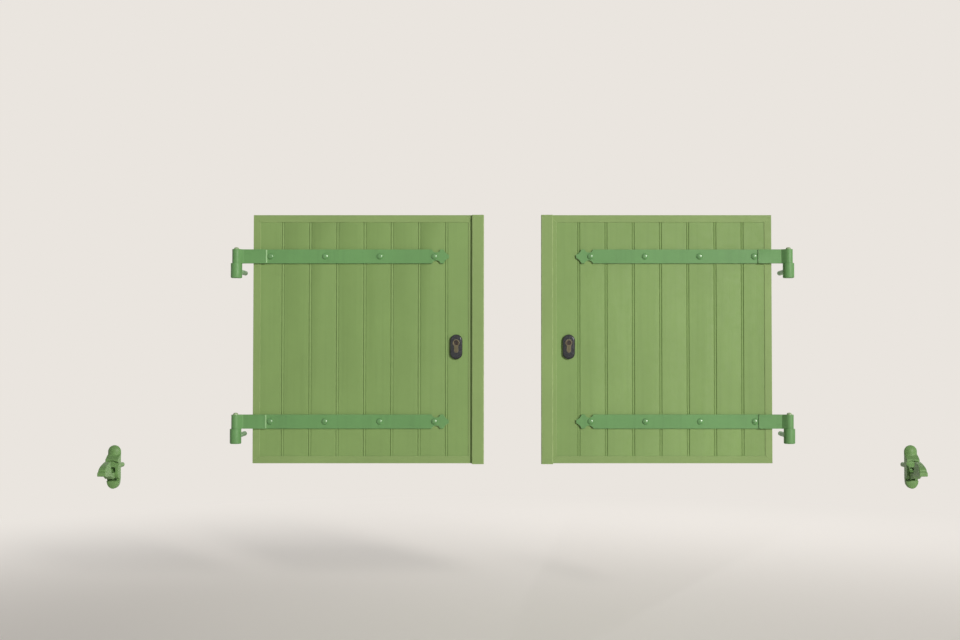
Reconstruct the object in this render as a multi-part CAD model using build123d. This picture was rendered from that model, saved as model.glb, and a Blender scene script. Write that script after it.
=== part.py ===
from build123d import *
from math import cos, pi, radians, sin
import os

# Pair of boarded window shutters, one leaf to the left and one to the right of a narrow pier, each hung on
# two wall pintles, with its lock, its strap hinges and the holdback that catches it when it stands open.
# Frame: seen from outside, +X is right, +Y goes into the wall and +Z is up. The origin is the point where
# the shank of the left upper pintle enters the wall face, which is the plane Y = 0. Lengths are millimetres.
# Everything is drawn for the left leaf, and the right leaf is its mirror image.

# The pair
PAIR_SPAN = 1376.0  # hinge axis to hinge axis
LEAF_HEIGHT = 620.0
LEAF_PROUD = 2.0  # edging face in front of the wall face
HINGE_OFFSET = 40.0  # hinge axis to the near edge of the leaf

# Boards: tongued and grooved, with a bead between two V grooves at each joint
BOARD_COUNT = 8
BOARD_PITCH = 68.2
BOARD_THICKNESS = 24.0
VEE_WIDTH = 2.6
VEE_DEPTH = 1.8
BEAD_WIDTH = 2.9
TONGUE_LENGTH = 5.0
TONGUE_THICKNESS = 6.0
TONGUE_CLEARANCE = 0.3
BOARD_END_GAP = 1.0  # room between a board and the web of the edging

# Edging: a mitred U channel round the boards
EDGING_WALL = 1.5
EDGING_COVER = 18.0

# Cover strip on the free edge
STRIP_WIDTH = 30.0
STRIP_THICKNESS = 8.0
STRIP_LAP = 9.0
STRIP_DROP = 1.5  # how far it hangs below the leaf
STRIP_BEVEL = 1.4

# Strap hinges
STRAP_HEIGHT = 35.0
STRAP_THICKNESS = 4.0
STRAP_INSET = 104.0  # leaf's top or bottom edge to the strap's centre line
RETURN_REACH = 74.0  # hinge axis to the end of the rolled eye's return leg
RETURN_SLOPE = 45.0  # degrees
RETURN_BEVEL = 1.0
TIP_BEYOND_BOLT = 36.0
NOSE_HEIGHT = 8.0
FLANK_LENGTH = 13.0
FLANK_HOLLOW = 2.2
NOTCH_FROM_TIP = 32.0
NOTCH_RADIUS = 11.0
NOTCH_DEPTH = 7.8

# Backing straps inside
BACKING_HEIGHT = 30.0
BACKING_THICKNESS = 3.0
BACKING_START = 8.0  # leaf's hinge edge to the near end
BACKING_BEYOND_BOLT = 24.0

# Carriage bolts and nuts, one pair in every second board. There are sixteen pairs, so their round
# forms and the holes drilled for them have a few flats.
BOLT_DIAMETER = 6.0
BOLT_SIDES = 8
BOLT_HEAD_DIAMETER = 16.0
BOLT_HEAD_SIDES = 12
BOLT_HEAD_HEIGHT = 4.0
BOLT_HEAD_CROWN_DIAMETER = 9.0
BOLT_NECK_LENGTH = 3.5
BOLT_PLACE = 41.5  # groove side of a board to the bolt
BOLT_END = 2.0  # how far the shank passes the nut
NUT_ACROSS_FLATS = 10.0
NUT_THICKNESS = 5.0
BOLT_CLEARANCE = 0.3
THREAD_CLEARANCE = 0.05

# Pintles
PIN_DIAMETER = 13.0
PIN_CLEARANCE = 0.1
PIN_RISE = 5.0  # above the eye
POST_DIAMETER = 28.0
POST_HEIGHT = 37.0
SHANK_DIAMETER = 12.0
SHANK_LENGTH = 90.0

# Lock: escutcheon and profile cylinder in front, surface lock case and bolt inside
LOCK_FROM_EDGE = 48.0
LOCK_DROP = 18.0  # below the leaf's middle
ESCUTCHEON_DROP = 2.0  # below the cylinder's middle
ESCUTCHEON_WIDTH = 31.0
ESCUTCHEON_HEIGHT = 62.0
ESCUTCHEON_THICKNESS = 8.5
CYLINDER_HEAD = 17.0
CYLINDER_FLANK = 10.0
CYLINDER_HEIGHT = 33.0
CYLINDER_PROUD = 1.5
CYLINDER_INTO_CASE = 6.0
CYLINDER_CLEARANCE = 0.1
LOCK_HOLE_CLEARANCE = 1.0
PLUG_DIAMETER = 12.8
PLUG_CLEARANCE = 0.05
KEYWAY_WIDTH = 2.2
KEYWAY_HEIGHT = 8.0
KEYWAY_DEPTH = 25.0
CAM_REACH = 14.0
CAM_WIDTH = 9.0
CAM_THICKNESS = 4.0
CAM_GAP = 0.3
CASE_WIDTH = 90.0
CASE_DEPTH = 20.0
CASE_WALL = 1.6
CASE_MARGIN = 12.0  # above the bolt and below the cam
CASE_CORNER = 3.0
BOLT_BAR_HEIGHT = 22.0
BOLT_BAR_THICKNESS = 6.0
BOLT_BAR_LENGTH = 60.0
BOLT_BAR_SETBACK = 0.3
BOLT_THROW = 15.0
BOLT_BAR_CLEARANCE = 0.3
STUD_DIAMETER = 6.0
STUD_FROM_TAIL = 12.0

# Holdback: wall body with a stop block, and a catch that tips on a pin
HOLD_OUTBOARD = 304.0  # hinge axis to the holdback's middle
HOLD_WIDTH = 32.0
HOLD_ABOVE = 45.0  # top of the body above the leaf's lower edge
HOLD_BELOW = 62.0
HOLD_PLATE = 10.0
STOP_TOP = 20.0
STOP_SLOPE = 9.0  # how far the block's top falls from the plate to its face
STOP_GAP = 0.3  # open leaf to the stop block
HOLD_FLOOR = 1.5
SLOT_WIDTH = 16.6
SLOT_ABOVE_PIVOT = 15.5
SLOT_BELOW_PIVOT = 17.0
PIVOT_BELOW_LEAF = 24.0
CHEEK_RADIUS = 13.5
LOWER_BOSS = 17.0
HOLD_PIN_DIAMETER = 5.0
HOLD_PIN_CLEARANCE = 0.08
HOLD_SHANK_DIAMETER = 12.0
HOLD_SHANK_LENGTH = 60.0
CATCH_SIDE_CLEARANCE = 0.3
CATCH_HEEL_GAP = 0.3
CATCH_HEEL_RISE = 13.0
CATCH_RUN_GAP = 1.2
CATCH_WIDTH = 20.0
JAW_SPARE = 0.7  # open leaf to the catch
JAW_FLOOR = 20.0  # below the leaf's lower edge
CATCH_SOLE = 34.6  # below the leaf's lower edge
HOOD_RISE = 8.0
HOOD_LENGTH = 42.0  # from the jaw to the lip's root
HOOD_FLAT = 4.0  # level top past the jaw
HOOD_BULGE = 2.4  # rise of the ramp's arc over its chord
LIP_LENGTH = 5.0
LIP_TOP = 13.0
LIP_BOTTOM = 23.0
SOLE_FLAT = 12.0  # flat of the sole past the jaw

# Places that follow from the sizes
LEAF_THICKNESS = BOARD_THICKNESS + 2 * EDGING_WALL
LEAF_FRONT = -LEAF_PROUD
LEAF_BACK = LEAF_FRONT + LEAF_THICKNESS
BOARD_FRONT = LEAF_FRONT + EDGING_WALL
FIRST_BOARD = HINGE_OFFSET + EDGING_WALL + BOARD_END_GAP
BOARDS_WIDTH = BOARD_COUNT * BOARD_PITCH + TONGUE_LENGTH
LEAF_WIDTH = BOARDS_WIDTH + 2 * (EDGING_WALL + BOARD_END_GAP)
FREE_EDGE = HINGE_OFFSET + LEAF_WIDTH
EYE_INNER = PIN_DIAMETER / 2 + PIN_CLEARANCE
EYE_OUTER = EYE_INNER + STRAP_THICKNESS
AXIS_Y = LEAF_FRONT - EYE_OUTER
STRAP_FRONT = LEAF_FRONT - STRAP_THICKNESS
UPPER_STRAP_Z = (POST_HEIGHT + STRAP_HEIGHT) / 2
LEAF_TOP = UPPER_STRAP_Z + STRAP_INSET
LEAF_BOTTOM = LEAF_TOP - LEAF_HEIGHT
LOWER_STRAP_Z = LEAF_BOTTOM + STRAP_INSET
BOLT_XS = [FIRST_BOARD + BOLT_PLACE + i * BOARD_PITCH for i in range(0, BOARD_COUNT, 2)]
STRAP_TIP = BOLT_XS[-1] + TIP_BEYOND_BOLT
BACKING_BACK = LEAF_BACK + BACKING_THICKNESS
LOCK_X = FREE_EDGE - LOCK_FROM_EDGE
LOCK_Z = (LEAF_TOP + LEAF_BOTTOM) / 2 - LOCK_DROP
PLUG_Z = LOCK_Z + (CYLINDER_HEIGHT - CYLINDER_HEAD) / 2
ESCUTCHEON_FRONT = BOARD_FRONT - ESCUTCHEON_THICKNESS
CYLINDER_FRONT = ESCUTCHEON_FRONT - CYLINDER_PROUD
CYLINDER_BACK = LEAF_BACK + CYLINDER_INTO_CASE
CAM_BACK = CYLINDER_BACK + CAM_GAP + CAM_THICKNESS
BAR_Z = PLUG_Z + CAM_REACH + 1.5 + BOLT_BAR_HEIGHT / 2
CASE_BACK = LEAF_BACK + CASE_DEPTH
CASE_TOP = BAR_Z + BOLT_BAR_HEIGHT / 2 + CASE_MARGIN
CASE_BOTTOM = PLUG_Z - CYLINDER_HEIGHT + CYLINDER_HEAD / 2 - CASE_MARGIN
BAR_BACK = CASE_BACK - CASE_WALL - 1.0
BAR_FRONT = BAR_BACK - BOLT_BAR_THICKNESS
BAR_NOSE = FREE_EDGE - BOLT_BAR_SETBACK
BAR_TAIL = BAR_NOSE - BOLT_BAR_LENGTH
HOLD_X = -HOLD_OUTBOARD

# The same leaf swung right round: how far its two faces then stand off the wall
OPEN_NEAR = -(2 * AXIS_Y - LEAF_FRONT)
OPEN_FAR = OPEN_NEAR + LEAF_THICKNESS
STOP_DEPTH = OPEN_NEAR - STOP_GAP
PIVOT_DEPTH = STOP_DEPTH - CHEEK_RADIUS
PIVOT_Z = -PIVOT_BELOW_LEAF
JAW_DEPTH = OPEN_FAR + JAW_SPARE
LIP_ROOT = JAW_DEPTH + HOOD_LENGTH
LIP_DEPTH = LIP_ROOT + LIP_LENGTH


def plan_solid(outline, bottom, top):
    """A section in the XY plane carried from one height to another."""
    return Pos(0, 0, bottom) * extrude(outline, top - bottom)


def front_solid(outline, front, back):
    """An outline seen from the front, X right and Z up, given the depths of its two faces."""
    return Pos(0, back, 0) * extrude(Plane.XZ * outline, back - front)


def side_solid(points_or_face, width, x):
    """A profile seen from the side, given as distance from the wall and height, centred on x."""
    profile = Plane.YZ * points_or_face
    return Pos(x, 0, 0) * extrude(profile, width / 2, both=True)


def box(x0, x1, y0, y1, z0, z1):
    """A block between two corners."""
    return Pos((x0 + x1) / 2, (y0 + y1) / 2, (z0 + z1) / 2) * Box(x1 - x0, y1 - y0, z1 - z0)


def rod_along_y(radius, front, back, x, z):
    """A round bar square to the wall."""
    return Pos(x, (front + back) / 2, z) * Rot(90, 0, 0) * Cylinder(radius, back - front)


def polygon(points):
    """A face inside straight edges."""
    return make_face(Polyline(*points, close=True))


def few_sided(diameter, sides):
    """A circle's stand-in, its corners on the circle and flats at the four quarters."""
    return Rot(0, 0, 180 / sides) * RegularPolygon(diameter / 2, sides)


def bolt_hole():
    """Hole that clears a strap bolt at its flats."""
    return few_sided((BOLT_DIAMETER + 2 * BOLT_CLEARANCE) / cos(pi / BOLT_SIDES), BOLT_SIDES)


# Boards
def board_edge(front_sign):
    """One long face of the board's section, from the groove side to the tongue side."""
    face = 0 if front_sign > 0 else BOARD_THICKNESS
    bottom = face + front_sign * VEE_DEPTH
    half = VEE_WIDTH / 2
    bead_end = half + BEAD_WIDTH
    return [
        (0, bottom),
        (half, face),
        (bead_end, face),
        (bead_end + half, bottom),
        (bead_end + VEE_WIDTH, face),
        (BOARD_PITCH - half, face),
        (BOARD_PITCH, bottom),
    ]


def board_section():
    """Section of one board: front and back alike, groove on the left, tongue on the right."""
    middle = BOARD_THICKNESS / 2
    tongue = TONGUE_THICKNESS / 2
    groove = tongue + TONGUE_CLEARANCE
    depth = TONGUE_LENGTH + TONGUE_CLEARANCE
    tongue_side = [
        (BOARD_PITCH, middle - tongue),
        (BOARD_PITCH + TONGUE_LENGTH, middle - tongue),
        (BOARD_PITCH + TONGUE_LENGTH, middle + tongue),
        (BOARD_PITCH, middle + tongue),
    ]
    groove_side = [
        (0, middle + groove),
        (depth, middle + groove),
        (depth, middle - groove),
        (0, middle - groove),
    ]
    outline = board_edge(1) + tongue_side + board_edge(-1)[::-1] + groove_side
    return polygon(outline)


def board(number):
    """One board between the webs of the edging, pierced for the bolts or the lock where they pass it."""
    start = FIRST_BOARD + number * BOARD_PITCH
    room = EDGING_WALL + BOARD_END_GAP
    section = Pos(start, BOARD_FRONT) * board_section()
    solid = plan_solid(section, LEAF_BOTTOM + room, LEAF_TOP - room)
    for x in BOLT_XS:
        if start < x < start + BOARD_PITCH:
            for z in (UPPER_STRAP_Z, LOWER_STRAP_Z):
                solid -= front_solid(Pos(x, z) * bolt_hole(), LEAF_FRONT, LEAF_BACK)
    if start < LOCK_X < start + BOARD_PITCH:
        solid -= front_solid(lock_hole(), LEAF_FRONT, LEAF_BACK)
    return solid


# Edging and cover strip
def edging_ring():
    """The whole channel round the leaf, before the mitres part it."""
    width, height = LEAF_WIDTH, LEAF_HEIGHT
    inside = BOARD_THICKNESS
    ring = Box(width, LEAF_THICKNESS, height)
    ring -= Box(width - 2 * EDGING_COVER, LEAF_THICKNESS, height - 2 * EDGING_COVER)
    ring -= Box(width - 2 * EDGING_WALL, inside, height - 2 * EDGING_WALL)
    middle_y = (LEAF_FRONT + LEAF_BACK) / 2
    return Pos(HINGE_OFFSET + width / 2, middle_y, (LEAF_TOP + LEAF_BOTTOM) / 2) * ring


def edging(side):
    """One length of the channel, cut at 45 degrees at both ends."""
    reach = 2 * EDGING_COVER
    x0, x1, z0, z1 = HINGE_OFFSET, FREE_EDGE, LEAF_BOTTOM, LEAF_TOP
    wedges = {
        "bottom": [(x0, z0), (x1, z0), (x1 - reach, z0 + reach), (x0 + reach, z0 + reach)],
        "top": [(x0, z1), (x1, z1), (x1 - reach, z1 - reach), (x0 + reach, z1 - reach)],
        "hinge_side": [(x0, z0), (x0, z1), (x0 + reach, z1 - reach), (x0 + reach, z0 + reach)],
        "lock_side": [(x1, z0), (x1, z1), (x1 - reach, z1 - reach), (x1 - reach, z0 + reach)],
    }
    wedge = front_solid(polygon(wedges[side]), LEAF_FRONT, LEAF_BACK)
    return edging_ring() & wedge


def cover_strip():
    """Bar that laps the leaf's free edge and covers the gap beside it."""
    start = FREE_EDGE - STRIP_LAP
    section = Pos(start + STRIP_WIDTH / 2, LEAF_FRONT - STRIP_THICKNESS / 2) * Rectangle(
        STRIP_WIDTH, STRIP_THICKNESS
    )
    bar = plan_solid(section, LEAF_BOTTOM - STRIP_DROP, LEAF_TOP)
    front_edges = bar.edges().filter_by(Axis.Z).sort_by(Axis.Y)[:2]
    return chamfer(front_edges, STRIP_BEVEL)


# Strap hinges
def tip_corner(side):
    """What the hollow flank takes off one corner of the strap's end. side is 1 above, -1 below."""
    nose = Vector(STRAP_TIP, side * NOSE_HEIGHT / 2)
    shoulder = Vector(STRAP_TIP - FLANK_LENGTH, side * STRAP_HEIGHT / 2)
    corner = Vector(STRAP_TIP, side * STRAP_HEIGHT / 2)
    chord = shoulder - nose
    inward = Vector(-chord.Y, chord.X).normalized() * side
    middle = (nose + shoulder) * 0.5 + inward * FLANK_HOLLOW
    return make_face([ThreePointArc(nose, middle, shoulder), Line(shoulder, corner), Line(corner, nose)])


def strap_plate():
    """The flat of the strap seen from the front, its centre line at height 0."""
    plate = Pos(STRAP_TIP / 2, 0) * Rectangle(STRAP_TIP, STRAP_HEIGHT)
    notch_offset = STRAP_HEIGHT / 2 - NOTCH_DEPTH + NOTCH_RADIUS
    for side in (1, -1):
        plate -= tip_corner(side)
        plate -= Pos(STRAP_TIP - NOTCH_FROM_TIP, side * notch_offset) * Circle(NOTCH_RADIUS)
    square = BOLT_DIAMETER + 2 * BOLT_CLEARANCE
    for x in BOLT_XS:
        plate -= Pos(x, 0) * Rectangle(square, square)
    return plate


def eye_section():
    """Rolled eye and its return leg in plan: the bar wraps the pin and lies back on the strap."""
    slope = radians(RETURN_SLOPE)
    far = 3 * EYE_OUTER
    open_side = polygon([(0, 0), (far * sin(slope), -far * cos(slope)), (far, 0), (far, far), (0, far)])
    roll = Circle(EYE_OUTER) - Circle(EYE_INNER) - open_side
    lap_outer = EYE_INNER - STRAP_THICKNESS
    inner_start = (EYE_INNER * sin(slope), -EYE_INNER * cos(slope))
    outer_start = (EYE_OUTER * sin(slope), -EYE_OUTER * cos(slope))
    run = cos(slope) / sin(slope)
    inner_bend = (inner_start[0] + (EYE_INNER - inner_start[1]) * run, EYE_INNER)
    outer_bend = (outer_start[0] + (lap_outer - outer_start[1]) * run, lap_outer)
    leg = polygon(
        [
            inner_start,
            outer_start,
            outer_bend,
            (RETURN_REACH - RETURN_BEVEL, lap_outer),
            (RETURN_REACH, lap_outer + RETURN_BEVEL),
            (RETURN_REACH, EYE_INNER),
            inner_bend,
        ]
    )
    return Pos(0, AXIS_Y) * (roll + leg)


def strap(centre_z):
    """One strap hinge in a single bar: plate, rolled eye and return leg."""
    half = STRAP_HEIGHT / 2
    plate = Pos(0, 0, centre_z) * front_solid(strap_plate(), STRAP_FRONT, LEAF_FRONT)
    return plate + plan_solid(eye_section(), centre_z - half, centre_z + half)


def backing_strap(centre_z):
    """Flat bar inside, punched like the strap, which the bolts draw against the leaf."""
    start = HINGE_OFFSET + BACKING_START
    end = BOLT_XS[-1] + BACKING_BEYOND_BOLT
    bar = Pos((start + end) / 2, centre_z) * Rectangle(end - start, BACKING_HEIGHT)
    square = BOLT_DIAMETER + 2 * BOLT_CLEARANCE
    for x in BOLT_XS:
        bar -= Pos(x, centre_z) * Rectangle(square, square)
    return front_solid(bar, LEAF_BACK, BACKING_BACK)


# Bolts and nuts
def carriage_bolt():
    """Bolt with a domed head and a square neck, its head seated at Y = 0 and its shank along +Y."""
    rim = Plane.XZ * RegularPolygon(BOLT_HEAD_DIAMETER / 2, BOLT_HEAD_SIDES)
    crown = Plane.XZ * RegularPolygon(BOLT_HEAD_CROWN_DIAMETER / 2, BOLT_HEAD_SIDES)
    head = loft([rim, Pos(0, -BOLT_HEAD_HEIGHT, 0) * crown], ruled=True)
    half = BOLT_DIAMETER / 2
    neck = box(-half, half, 0, BOLT_NECK_LENGTH, -half, half)
    end = BACKING_BACK + NUT_THICKNESS + BOLT_END - STRAP_FRONT
    shank = front_solid(few_sided(BOLT_DIAMETER, BOLT_SIDES), 0, end)
    return head + neck + shank


def nut():
    """Hexagon nut seated at Y = 0."""
    across_corners = NUT_ACROSS_FLATS / cos(pi / 6)
    bore = few_sided(BOLT_DIAMETER + 2 * THREAD_CLEARANCE, BOLT_SIDES)
    return front_solid(RegularPolygon(across_corners / 2, 6) - bore, 0, NUT_THICKNESS)


def at_bolts(solid, seat):
    """Copies of a fastener at every strap bolt, on the face at depth seat."""
    places = [(x, z) for z in (UPPER_STRAP_Z, LOWER_STRAP_Z) for x in BOLT_XS]
    return Compound([Pos(x, seat, z) * solid for x, z in places])


# Pintles
def pintle(strap_z):
    """Post flat against the wall, shank into it, and the pin that the strap's eye drops over."""
    post_top = strap_z - STRAP_HEIGHT / 2
    middle = post_top - POST_HEIGHT / 2
    post = Pos(0, AXIS_Y, middle) * Cylinder(POST_DIAMETER / 2, POST_HEIGHT)
    behind = box(-POST_DIAMETER, POST_DIAMETER, 0, POST_DIAMETER, post_top - 2 * POST_HEIGHT, post_top + 1)
    post -= behind
    pin_top = strap_z + STRAP_HEIGHT / 2 + PIN_RISE
    pin_height = pin_top - post_top
    pin = Pos(0, AXIS_Y, post_top + pin_height / 2) * Cylinder(PIN_DIAMETER / 2, pin_height)
    shank = rod_along_y(SHANK_DIAMETER / 2, AXIS_Y, SHANK_LENGTH, 0, middle)
    return post + pin + shank


# Lock
def cylinder_outline(spare):
    """Keyhole-shaped outline of the lock cylinder, grown by spare all round."""
    head = CYLINDER_HEAD / 2 + spare
    foot = CYLINDER_FLANK / 2 + spare
    drop = CYLINDER_HEIGHT - CYLINDER_HEAD / 2 - CYLINDER_FLANK / 2
    flank = Pos(0, -drop / 2) * Rectangle(2 * foot, drop)
    outline = Circle(head) + flank + Pos(0, -drop) * Circle(foot)
    return Pos(LOCK_X, PLUG_Z) * outline


def lock_hole():
    """Slot through a board that the cylinder passes with room to spare."""
    width = CYLINDER_HEAD + 2 * LOCK_HOLE_CLEARANCE
    height = CYLINDER_HEIGHT + 2 * LOCK_HOLE_CLEARANCE
    return Pos(LOCK_X, LOCK_Z) * Rot(0, 0, 90) * SlotOverall(height, width)


def lock_escutcheon():
    """Thick oval shield round the cylinder."""
    middle = LOCK_Z - ESCUTCHEON_DROP
    outline = Pos(LOCK_X, middle) * Rot(0, 0, 90) * SlotOverall(ESCUTCHEON_HEIGHT, ESCUTCHEON_WIDTH)
    shield = front_solid(outline, ESCUTCHEON_FRONT, BOARD_FRONT)
    return shield - front_solid(cylinder_outline(CYLINDER_CLEARANCE), ESCUTCHEON_FRONT, BOARD_FRONT)


def lock_cylinder():
    """Cylinder body, bored for its plug."""
    body = front_solid(cylinder_outline(0), CYLINDER_FRONT, CYLINDER_BACK)
    bore = PLUG_DIAMETER / 2 + PLUG_CLEARANCE
    return body - rod_along_y(bore, CYLINDER_FRONT, CYLINDER_BACK, LOCK_X, PLUG_Z)


def cylinder_plug():
    """Turning plug with its keyway, and the cam on its inner end."""
    radius = PLUG_DIAMETER / 2
    plug = rod_along_y(radius, CYLINDER_FRONT, CAM_BACK, LOCK_X, PLUG_Z)
    half = CAM_WIDTH / 2
    cam_front = CAM_BACK - CAM_THICKNESS
    plug += box(LOCK_X - half, LOCK_X + half, cam_front, CAM_BACK, PLUG_Z - CAM_REACH, PLUG_Z)
    slot = KEYWAY_WIDTH / 2
    low = PLUG_Z + radius - 1.0 - KEYWAY_HEIGHT
    keyway_end = CYLINDER_FRONT + KEYWAY_DEPTH
    plug -= box(LOCK_X - slot, LOCK_X + slot, CYLINDER_FRONT, keyway_end, low, low + KEYWAY_HEIGHT)
    return plug


def lock_case():
    """Pressed pan on the inner face, open towards the leaf, with the bolt's window and guide stud."""
    x0, x1 = FREE_EDGE - CASE_WIDTH, FREE_EDGE
    pan = box(x0, x1, LEAF_BACK, CASE_BACK, CASE_BOTTOM, CASE_TOP)
    pan = chamfer(pan.edges().filter_by(Axis.Y), CASE_CORNER)
    wall = CASE_WALL
    pan -= box(x0 + wall, x1 - wall, LEAF_BACK, CASE_BACK - wall, CASE_BOTTOM + wall, CASE_TOP - wall)
    spare = BOLT_BAR_CLEARANCE
    half = BOLT_BAR_HEIGHT / 2 + spare
    pan -= box(x1 - 2 * wall, x1, BAR_FRONT - spare, BAR_BACK + spare, BAR_Z - half, BAR_Z + half)
    stud_x = BAR_TAIL + STUD_FROM_TAIL + BOLT_THROW
    return pan + rod_along_y(STUD_DIAMETER / 2, BAR_FRONT - 1.0, CASE_BACK - wall, stud_x, BAR_Z)


def lock_bolt():
    """Sliding deadbolt, its slot astride the guide stud."""
    half = BOLT_BAR_HEIGHT / 2
    bar = box(BAR_TAIL, BAR_NOSE, BAR_FRONT, BAR_BACK, BAR_Z - half, BAR_Z + half)
    bar = chamfer(bar.edges().filter_by(Axis.Z).sort_by(Axis.X)[-2:], 1.0)
    width = STUD_DIAMETER + 2 * BOLT_BAR_CLEARANCE
    length = BOLT_THROW + width
    middle = BAR_TAIL + STUD_FROM_TAIL + BOLT_THROW / 2
    slot = Pos(middle, BAR_Z) * SlotOverall(length, width)
    return bar - front_solid(slot, BAR_FRONT, BAR_BACK)


# Holdback, whose heights are counted from the leaf's lower edge and whose depths are off the wall
def side_face(points):
    """A side profile inside straight edges, from pairs of depth and height."""
    return polygon([(-depth, height) for depth, height in points])


def pivot_disc(radius):
    """A disc round the catch's pivot in the side profile."""
    return Pos(-PIVOT_DEPTH, PIVOT_Z) * Circle(radius)


def holdback_side():
    """Wall body from the side: plate, stop block that turns under into the cheeks, and lower boss."""
    slot_bottom = PIVOT_Z - SLOT_BELOW_PIVOT
    plate_top = HOLD_ABOVE
    foot = -HOLD_BELOW
    plate = side_face([(0, plate_top), (HOLD_PLATE, plate_top), (HOLD_PLATE, foot), (0, foot)])
    stop = side_face(
        [(0, STOP_TOP), (HOLD_PLATE, STOP_TOP), (STOP_DEPTH, STOP_TOP - STOP_SLOPE), (STOP_DEPTH, PIVOT_Z), (0, PIVOT_Z)]
    )
    boss = side_face([(0, slot_bottom), (LOWER_BOSS, slot_bottom - 1.5), (LOWER_BOSS, foot), (0, foot)])
    return plate + stop + pivot_disc(CHEEK_RADIUS) + boss


def holdback_body():
    """Wall body of the holdback with its shank, slotted for the catch, the pin riveted in its cheeks."""
    height = HOLD_ABOVE + HOLD_BELOW
    middle = (HOLD_ABOVE - HOLD_BELOW) / 2
    outline = Pos(0, middle) * Rot(0, 0, 90) * SlotOverall(height, HOLD_WIDTH)
    body = side_solid(holdback_side(), HOLD_WIDTH, 0)
    body &= front_solid(outline, -2 * STOP_DEPTH, 0)
    slot_top = PIVOT_Z + SLOT_ABOVE_PIVOT
    slot_bottom = PIVOT_Z - SLOT_BELOW_PIVOT
    half = SLOT_WIDTH / 2
    body -= box(-half, half, -2 * STOP_DEPTH, -HOLD_FLOOR, slot_bottom, slot_top)
    body += Pos(0, -PIVOT_DEPTH, PIVOT_Z) * Rot(0, 90, 0) * Cylinder(HOLD_PIN_DIAMETER / 2, HOLD_WIDTH)
    body += rod_along_y(HOLD_SHANK_DIAMETER / 2, -HOLD_FLOOR, HOLD_SHANK_LENGTH, 0, middle)
    return Pos(HOLD_X, 0, LEAF_BOTTOM) * body


def catch_root():
    """Narrow end of the catch between the cheeks, with the heel that stops it from rising."""
    radius = PIVOT_DEPTH - HOLD_FLOOR - CATCH_HEEL_GAP
    back = HOLD_FLOOR + CATCH_HEEL_GAP
    heel_top = PIVOT_Z + CATCH_HEEL_RISE
    front = JAW_DEPTH
    heel = side_face([(back, PIVOT_Z), (PIVOT_DEPTH, PIVOT_Z), (PIVOT_DEPTH, heel_top), (back, heel_top)])
    arm = side_face(
        [(PIVOT_DEPTH, PIVOT_Z - radius), (front, PIVOT_Z - radius), (front, -JAW_FLOOR), (PIVOT_DEPTH, -JAW_FLOOR)]
    )
    profile = pivot_disc(radius) + heel + arm
    width = SLOT_WIDTH - 2 * CATCH_SIDE_CLEARANCE
    return side_solid(profile, width, 0)


def catch_hood():
    """Wide front of the catch: sole, jaw and the rounded hood that the closing leaf rides over."""
    back = STOP_DEPTH + CATCH_RUN_GAP
    crest = Vector(-(JAW_DEPTH + HOOD_FLAT), HOOD_RISE)
    root = Vector(-LIP_ROOT, -LIP_TOP)
    chord = crest - root
    brow = (crest + root) * 0.5 + Vector(-chord.Y, chord.X).normalized() * HOOD_BULGE
    points = [
        (-LIP_ROOT, -LIP_TOP),
        (-LIP_DEPTH, -LIP_TOP),
        (-LIP_DEPTH, -LIP_BOTTOM),
        (-(JAW_DEPTH + SOLE_FLAT), -CATCH_SOLE),
        (-PIVOT_DEPTH, -CATCH_SOLE),
        (-PIVOT_DEPTH, -JAW_FLOOR),
        (-JAW_DEPTH, -JAW_FLOOR),
        (-JAW_DEPTH, HOOD_RISE),
        (crest.X, crest.Y),
    ]
    outline = make_face([Polyline(*points), ThreePointArc(crest, brow, root)])
    inner = pivot_disc(CHEEK_RADIUS + CATCH_RUN_GAP)
    clear = side_face([(0, 0), (back, 0), (back, PIVOT_Z), (0, PIVOT_Z)])
    return side_solid(outline - inner - clear, CATCH_WIDTH, 0)


def holdback_catch():
    """The tipping catch in one moulding."""
    hood = catch_hood()
    catch = hood + catch_root()
    bore = HOLD_PIN_DIAMETER / 2 + HOLD_PIN_CLEARANCE
    catch -= Pos(0, -PIVOT_DEPTH, PIVOT_Z) * Rot(0, 90, 0) * Cylinder(bore, 2 * HOLD_WIDTH)
    return Pos(HOLD_X, 0, LEAF_BOTTOM) * catch


def left_pieces():
    """Every separate piece of the left shutter, by name."""
    pieces = {f"board_{number + 1}": board(number) for number in range(BOARD_COUNT)}
    for side in ("top", "bottom", "hinge_side", "lock_side"):
        pieces[f"edging_{side}"] = edging(side)
    pieces["cover_strip"] = cover_strip()
    for level, z in (("upper", UPPER_STRAP_Z), ("lower", LOWER_STRAP_Z)):
        pieces[f"strap_{level}"] = strap(z)
        pieces[f"backing_strap_{level}"] = backing_strap(z)
        pieces[f"pintle_{level}"] = pintle(z)
    pieces["strap_bolts"] = at_bolts(carriage_bolt(), STRAP_FRONT)
    pieces["strap_nuts"] = at_bolts(nut(), BACKING_BACK)
    pieces["lock_escutcheon"] = lock_escutcheon()
    pieces["lock_cylinder"] = lock_cylinder()
    pieces["cylinder_plug"] = cylinder_plug()
    pieces["lock_case"] = lock_case()
    pieces["lock_bolt"] = lock_bolt()
    pieces["holdback_body"] = holdback_body()
    pieces["holdback_catch"] = holdback_catch()
    return pieces


def main():
    """Write the left shutter and its mirror image, one file for each piece."""
    os.makedirs("parts", exist_ok=True)
    middle = Plane.YZ.offset(PAIR_SPAN / 2)
    for name, piece in left_pieces().items():
        export_step(piece, f"parts/left_{name}.step")
        export_step(mirror(piece, about=middle), f"parts/right_{name}.step")


main()
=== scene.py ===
"""Looks of a handed pair of boarded window shutters with strap hinges, locks and holdbacks.

Everything is in metres in the part's own frame: seen from outside, +X is right, +Y goes into the wall and
+Z is up, with the wall face at Y = 0. Each piece is built for the left shutter, and the right shutter's
pieces are its mirror images about the plane half way between the two.
"""

import logging
from dataclasses import dataclass, field
from enum import Enum
from math import pi, radians
from typing import Callable

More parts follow.
